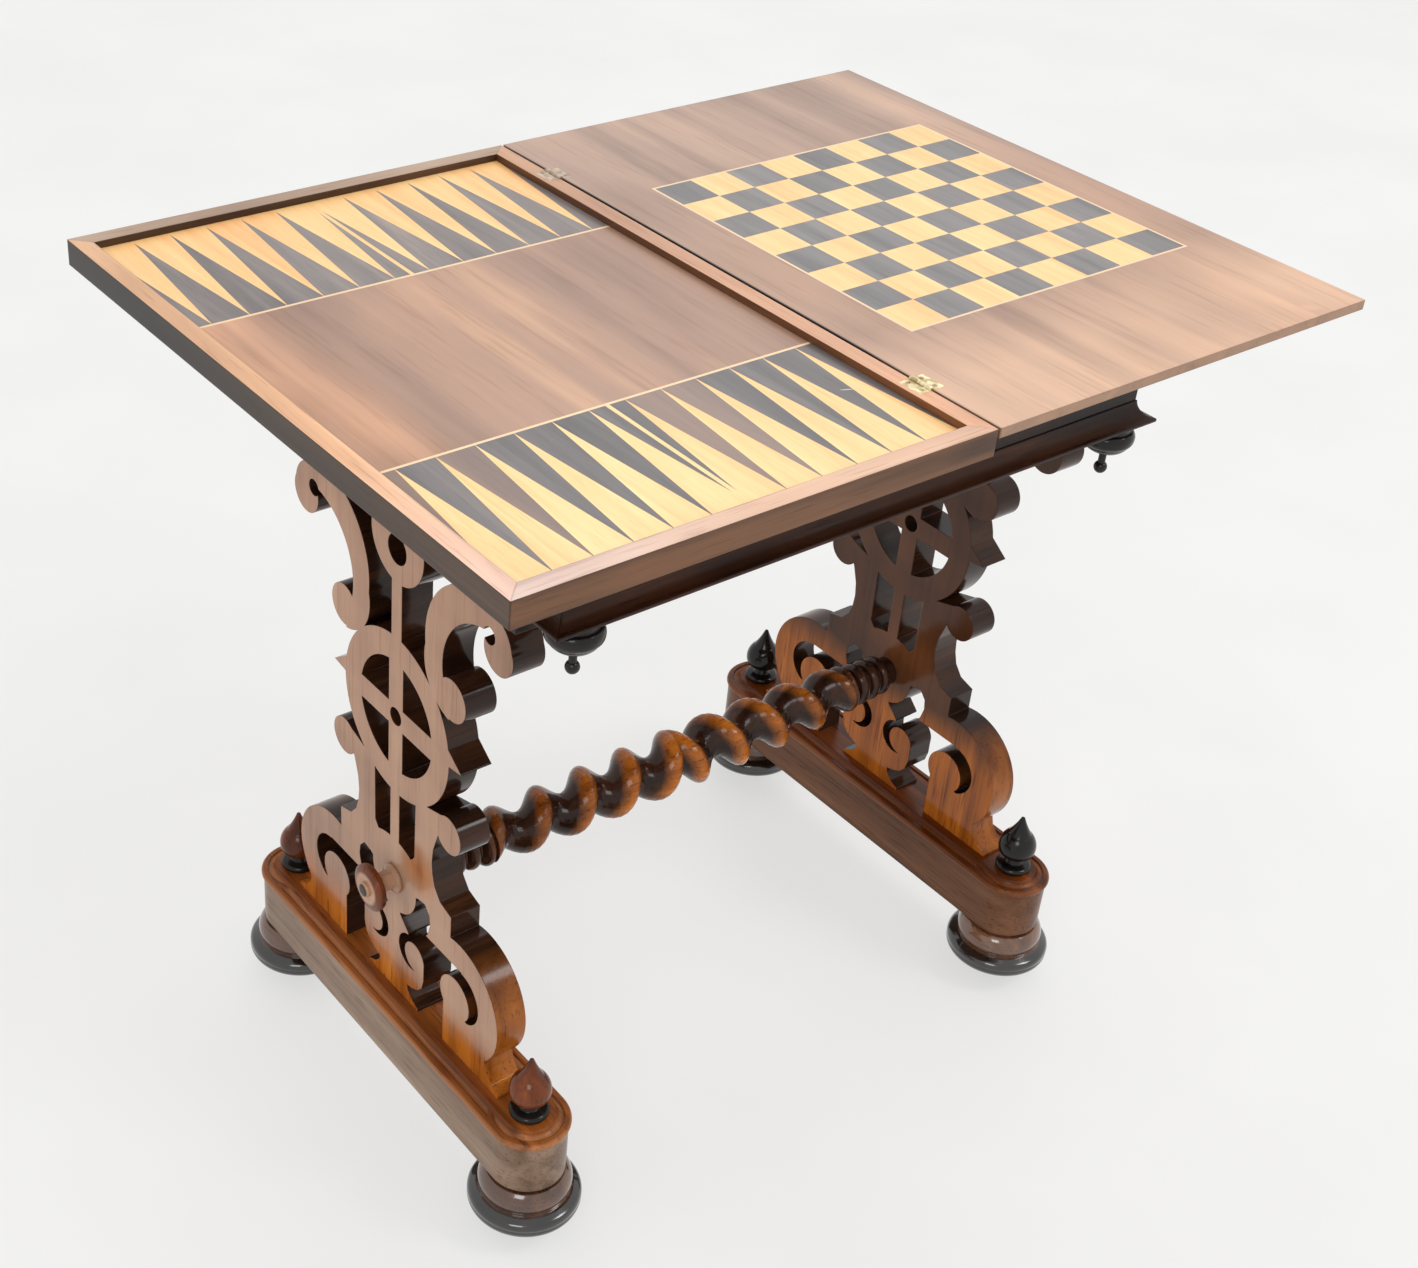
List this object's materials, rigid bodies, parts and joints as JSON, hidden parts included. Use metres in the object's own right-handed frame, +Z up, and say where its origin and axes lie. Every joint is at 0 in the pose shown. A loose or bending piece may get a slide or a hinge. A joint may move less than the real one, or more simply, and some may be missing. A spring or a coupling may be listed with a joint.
{
  "type": "fold-over games table",
  "caption": "Open fold-over games table: inlaid chess leaf hinged to a backgammon tray that swivels on a frieze box, on pierced scroll end supports with a twist stretcher",
  "frame": {"origin": "on the floor under the middle of the open top", "axes": "+X from the tray half to the leaf half, along the stretcher; +Y away from the viewer; +Z up"},
  "size_m": [0.812, 0.592, 0.7221],
  "materials": {
    "faded_rosewood": "waxed, sun-faded veneer",
    "carved_rosewood": "french polished",
    "ebonised_wood": "black polished",
    "plain_softwood": "unpolished",
    "hinge_brass": "aged",
    "castor_brass": "dark, aged",
    "swivel_iron": "black"
  },
  "bodies": {
    "stand": {"foot_bar_left": "carved_rosewood", "foot_bar_right": "carved_rosewood", "foot_near_left": "ebonised_wood", "foot_near_right": "ebonised_wood", "foot_far_left": "ebonised_wood", "foot_far_right": "ebonised_wood", "finial_near_left": "carved_rosewood", "finial_near_right": "ebonised_wood", "finial_far_left": "carved_rosewood", "finial_far_right": "ebonised_wood", "fret_left": "carved_rosewood", "fret_right": "carved_rosewood", "bearer_left": "carved_rosewood", "bearer_right": "carved_rosewood", "stretcher": "carved_rosewood", "stretcher_stud_left": "carved_rosewood", "stretcher_stud_right": "carved_rosewood", "frieze_rail_near": "carved_rosewood", "frieze_rail_far": "carved_rosewood", "frieze_rail_left": "carved_rosewood", "frieze_rail_right": "carved_rosewood", "cove_near": "carved_rosewood", "cove_far": "carved_rosewood", "cove_left": "carved_rosewood", "cove_right": "carved_rosewood", "well_board": "plain_softwood", "corner_blocks": "plain_softwood", "swivel_rail": "plain_softwood", "drop_near_left": "ebonised_wood", "drop_near_right": "ebonised_wood", "drop_far_left": "ebonised_wood", "drop_far_right": "ebonised_wood", "castor_sockets": "castor_brass"},
    "tray": {"tray_panel": "faded_rosewood", "tray_rim_near": "faded_rosewood", "tray_rim_seam": "faded_rosewood", "tray_rim_far": "faded_rosewood", "tray_rim_outer": "faded_rosewood", "swivel_plate": "swivel_iron", "swivel_bolt": "swivel_iron", "swivel_washer": "swivel_iron", "swivel_nut": "swivel_iron", "hinge_tray_plate_near": "hinge_brass", "hinge_tray_plate_far": "hinge_brass", "hinge_pins": "hinge_brass"},
    "leaf": {"leaf_panel": "faded_rosewood", "hinge_leaf_plate_near": "hinge_brass", "hinge_leaf_plate_far": "hinge_brass"},
    "castor_near_left": {"castor_fork_near_left": "castor_brass"},
    "wheel_near_left": {"castor_wheel_near_left": "castor_brass"},
    "castor_near_right": {"castor_fork_near_right": "castor_brass"},
    "wheel_near_right": {"castor_wheel_near_right": "castor_brass"},
    "castor_far_left": {"castor_fork_far_left": "castor_brass"},
    "wheel_far_left": {"castor_wheel_far_left": "castor_brass"},
    "castor_far_right": {"castor_fork_far_right": "castor_brass"},
    "wheel_far_right": {"castor_wheel_far_right": "castor_brass"}
  },
  "joints": [
    {"name": "top_swivel", "type": "hinge", "parent": "stand", "child": "tray", "pos_m": [-0.1015, -0.1015, 0.699], "axis": [0, 0, 1], "range_deg": [-90, 0]},
    {"name": "leaf_fold", "type": "hinge", "parent": "tray", "child": "leaf", "pos_m": [0, 0, 0.72015], "axis": [0, -1, 0], "range_deg": [0, 180]},
    {"name": "castor_swivel_near_left", "type": "hinge", "parent": "stand", "child": "castor_near_left", "pos_m": [-0.28, -0.182, 0.045], "axis": [0, 0, 1], "continuous": true},
    {"name": "wheel_roll_near_left", "type": "hinge", "parent": "castor_near_left", "child": "wheel_near_left", "pos_m": [-0.28, -0.192, 0.011], "axis": [1, 0, 0], "continuous": true},
    {"name": "castor_swivel_near_right", "type": "hinge", "parent": "stand", "child": "castor_near_right", "pos_m": [0.28, -0.182, 0.045], "axis": [0, 0, 1], "continuous": true},
    {"name": "wheel_roll_near_right", "type": "hinge", "parent": "castor_near_right", "child": "wheel_near_right", "pos_m": [0.28, -0.192, 0.011], "axis": [1, 0, 0], "continuous": true},
    {"name": "castor_swivel_far_left", "type": "hinge", "parent": "stand", "child": "castor_far_left", "pos_m": [-0.28, 0.182, 0.045], "axis": [0, 0, 1], "continuous": true},
    {"name": "wheel_roll_far_left", "type": "hinge", "parent": "castor_far_left", "child": "wheel_far_left", "pos_m": [-0.28, 0.172, 0.011], "axis": [1, 0, 0], "continuous": true},
    {"name": "castor_swivel_far_right", "type": "hinge", "parent": "stand", "child": "castor_far_right", "pos_m": [0.28, 0.182, 0.045], "axis": [0, 0, 1], "continuous": true},
    {"name": "wheel_roll_far_right", "type": "hinge", "parent": "castor_far_right", "child": "wheel_far_right", "pos_m": [0.28, 0.172, 0.011], "axis": [1, 0, 0], "continuous": true}
  ]
}
